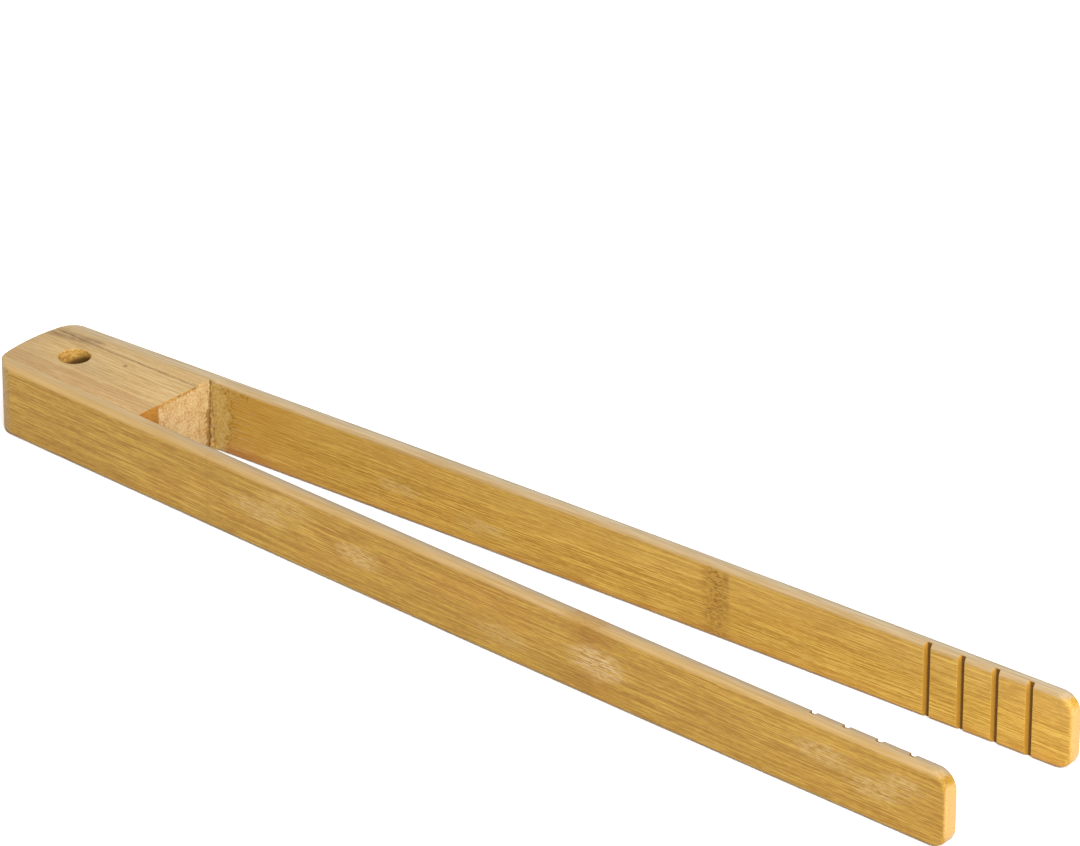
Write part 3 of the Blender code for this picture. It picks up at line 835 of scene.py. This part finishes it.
def splinter_tree():
    """Torn fibres standing along guide lines, turned and sized at random, on an arm or the block."""
    tree, wiring, size = shape_tree("splinters", {
        **ARM_SIZES, "Spacing": 0.4 * MM, "Splinter Length": 0.45 * MM, "Splinter Radius": 0.05 * MM,
        "Lean": 0.6, "Seed": 1.0})
    curve = wiring.put("GeometryNodeMeshToCurve", {0: size["Geometry"]}).outputs[0]
    stations = wiring.put(
        "GeometryNodeCurveToPoints", {"Curve": curve, "Length": size["Spacing"]}, mode='LENGTH')
    splinter = wiring.put("GeometryNodeMeshCone", {
        "Vertices": 5, "Radius Top": 0.0,
        "Radius Bottom": size["Splinter Radius"], "Depth": size["Splinter Length"]})
    lean = wiring.put("FunctionNodeRandomValue", {"Seed": 3}, data_type='FLOAT_VECTOR')
    wiring.feed(lean.inputs[0], (-0.5, 1.0, -0.5))
    wiring.feed(lean.inputs[1], (0.5, 2.1, 0.5))
    grade = wiring.put("FunctionNodeRandomValue", {"Seed": 7}, data_type='FLOAT')
    wiring.feed(grade.inputs[2], 0.35)
    wiring.feed(grade.inputs[3], 1.0)
    standing = wiring.put("GeometryNodeInstanceOnPoints", {"Points": stations.outputs[0]})
    wiring.feed(standing.inputs["Instance"], splinter.outputs["Mesh"])
    wiring.feed(standing.inputs["Rotation"], lean.outputs[0])
    wiring.feed(standing.inputs["Scale"], grade.outputs[1])
    whole = wiring.put("GeometryNodeRealizeInstances", {0: standing.outputs[0]})
    position = wiring.put("GeometryNodeInputPosition").outputs[0]
    moved = wiring.put("GeometryNodeSetPosition", {"Geometry": whole.outputs[0]})
    wiring.feed(moved.inputs["Position"], bend_onto_arm(wiring, size, position))
    end_tree(wiring, moved.outputs[0], size["Finish"])
    return tree


def guide_lines(name, lines):
    """Open lines of points in millimetres, as a mesh of edges in metres."""
    points, edges = [], []
    for line in lines:
        first = len(points)
        points += [tuple(value * MM for value in point) for point in line]
        edges += [(first + i, first + i + 1) for i in range(len(line) - 1)]
    mesh = bpy.data.meshes.new(name)
    mesh.from_pydata(points, edges, [])
    return mesh


def cut_mouths(side):
    """The long edges of every grip cut, on a straight arm."""
    lines = []
    rim = INNER_EDGE_RADIUS[side] + 0.4
    for i in range(CUT_COUNT):
        middle = LENGTH - CUT_FROM_TIP - i * CUT_PITCH
        for edge in (-1, 1):
            station = middle + edge * (CUT_MOUTH / 2 - 0.12)
            lines.append([(station, 0.22, rim), (station, 0.22, ARM_WIDTH - rim)])
    return lines


# --- Putting the tongs together -------------------------------------------------------------

def make_arms():
    arm_tree, splinters = sprung_arm_tree(), splinter_tree()
    for side, prefix, finish in ((LEFT, "left", left_arm_finish()), (RIGHT, "right", right_arm_finish())):
        bar = straight_bar(f"{prefix}_arm", side)
        inputs = {"Side": float(side), "Seed": 0.1 * (side + 2), "Finish": finish}
        arm = grow(f"{prefix}_arm", arm_tree, bar, inputs)
        face_outwards(arm.data)
        shade_smooth(arm.data, 50.0)
        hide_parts(f"{prefix}_arm_root", f"{prefix}_arm_blade")
        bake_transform(arm)

        guides = guide_lines(f"{prefix}_cut_mouths", cut_mouths(side))
        burrs = grow(f"{prefix}_saw_burrs", splinters, guides, {"Side": float(side), "Finish": finish})
        face_outwards(burrs.data)
        mark_grain(burrs.data, [BURR_GRAIN] * len(burrs.data.vertices))
        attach(burrs, f"{prefix}_blade")


def make_block(glue):
    end = BLOCK_LENGTH

    def left_flank(gap):
        return lambda station: flank_at(station, gap)

    def right_flank(gap):
        return lambda station: -flank_at(station, gap)

    def level(y):
        return lambda station: y

    strips = (
        ("block_right_strip", "right_block_strip", "dark_bamboo", right_strip_finish(), STRIP_RIM,
         [strip_outline(right_flank(JOINT_HALF), level(RIGHT_JOINT - JOINT_HALF), end)]),
        ("block_core_strip", "core_block_strip", "block_bamboo", core_finish(), CORE_RIM,
         [strip_outline(level(RIGHT_JOINT + JOINT_HALF), level(LEFT_JOINT - JOINT_HALF), end),
          hole_outline()]),
        ("block_left_strip", "left_block_strip", "block_bamboo", left_strip_finish(), STRIP_RIM,
         [strip_outline(level(LEFT_JOINT + JOINT_HALF), left_flank(JOINT_HALF), end)]),
    )
    for name, node, slot, finish, rim, outlines in strips:
        strip = plan_plate(name, outlines, 0.0, ARM_WIDTH, rim)
        strip.data.materials.append(finish)
        shade_smooth(strip.data, 35.0)
        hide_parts(node)
        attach(strip, "head")

    films = (
        ("right_core_film", "right_core_glue",
         level(RIGHT_JOINT - FILM_HALF), level(RIGHT_JOINT + FILM_HALF)),
        ("left_core_film", "left_core_glue", level(LEFT_JOINT - FILM_HALF), level(LEFT_JOINT + FILM_HALF)),
        ("right_arm_film", "right_arm_glue", right_flank(-FILM_HALF), right_flank(FILM_HALF)),
        ("left_arm_film", "left_arm_glue", left_flank(FILM_HALF), left_flank(-FILM_HALF)),
    )
    for name, node, low_at, high_at in films:
        plain = strip_outline(low_at, high_at, end - FILM_SHORT_OF_END, steps=1)
        outline = [(x + FILM_SET_BACK, y) for x, y in plain]
        layer = plan_plate(name, [outline], FILM_SHORT_OF_FACE, ARM_WIDTH - FILM_SHORT_OF_FACE, FILM_RIM)
        layer.data.materials.append(glue)
        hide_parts(node)
        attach(layer, "head")


def make_bead(glue):
    """Glue down the open corner of the block and the left arm."""
    heights = np.linspace(0.3, ARM_WIDTH - 0.4, 60)
    corner = [(BLOCK_LENGTH + 0.1, -0.1, height) for height in heights]
    line = guide_lines("glued_corner", [corner])
    bead = grow("left_arm_bead", bead_tree(), line, {"Side": 1.0, "Finish": glue})
    face_outwards(bead.data)
    shade_smooth(bead.data, 60.0)
    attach(bead, "head")


# --- Studio ---------------------------------------------------------------------------------

def make_camera():
    """A long lens, above the tips' side of the right arm, aimed high to leave white above the tongs."""
    azimuth, elevation = math.radians(40.7), math.radians(26.9)
    distance, aim_right, aim_up = 1317.9, 8.458, 26.57
    back = Vector((
        math.sin(azimuth) * math.cos(elevation),
        -math.cos(azimuth) * math.cos(elevation),
        math.sin(elevation)))
    right = Vector((math.cos(azimuth), math.sin(azimuth), 0.0))
    up = back.cross(right)
    aim = Vector((0.0, 0.0, 8.0)) + right * aim_right + up * aim_up
    lens = bpy.data.cameras.new("studio_camera")
    lens.lens = 228.5
    lens.sensor_width = 36.0
    lens.clip_start, lens.clip_end = 0.1, 20.0
    camera = bpy.data.objects.new("studio_camera", lens)
    camera.location = (aim + back * distance) * MM
    camera.rotation_mode = 'QUATERNION'
    camera.rotation_quaternion = (-back).to_track_quat('-Z', 'Y')
    bpy.context.scene.collection.objects.link(camera)
    bpy.context.scene.camera = camera


def soft_box(name, place, aim, size, power):
    light = bpy.data.lights.new(name, 'AREA')
    light.shape = 'RECTANGLE'
    light.size, light.size_y = size
    light.energy = power
    lamp = bpy.data.objects.new(name, light)
    lamp.location = place
    lamp.rotation_mode = 'QUATERNION'
    lamp.rotation_quaternion = (Vector(aim) - Vector(place)).to_track_quat('-Z', 'Y')
    bpy.context.scene.collection.objects.link(lamp)


def make_studio():
    scene = bpy.context.scene
    scene.view_settings.view_transform = 'Standard'
    world = bpy.data.worlds.new("white_room")
    world.use_nodes = True
    backdrop = world.node_tree.nodes["Background"]
    backdrop.inputs["Color"].default_value = (1.0, 1.0, 1.0, 1.0)
    backdrop.inputs["Strength"].default_value = 0.95
    scene.world = world
    soft_box("tip_box", (1.20, -0.62, 0.95), (0.0, 0.0, 0.0), (1.7, 1.7), 76.0)

    floor_mesh = bpy.data.meshes.new("studio_floor")
    half = 6.0
    corners = [(-half, -half, 0), (half, -half, 0), (half, half, 0), (-half, half, 0)]
    floor_mesh.from_pydata(corners, [], [(0, 1, 2, 3)])
    floor = bpy.data.objects.new("studio_floor", floor_mesh)
    paper = bpy.data.materials.new("white_paper")
    paper.use_nodes = True
    shader = paper.node_tree.nodes["Principled BSDF"]
    shader.inputs["Base Color"].default_value = (0.93, 0.93, 0.93, 1.0)
    shader.inputs["Roughness"].default_value = 0.9
    shader.inputs["Specular IOR Level"].default_value = 0.0
    floor_mesh.materials.append(paper)
    scene.collection.objects.link(floor)


make_camera()
make_studio()
glue = glue_finish()
make_arms()
make_block(glue)
make_bead(glue)
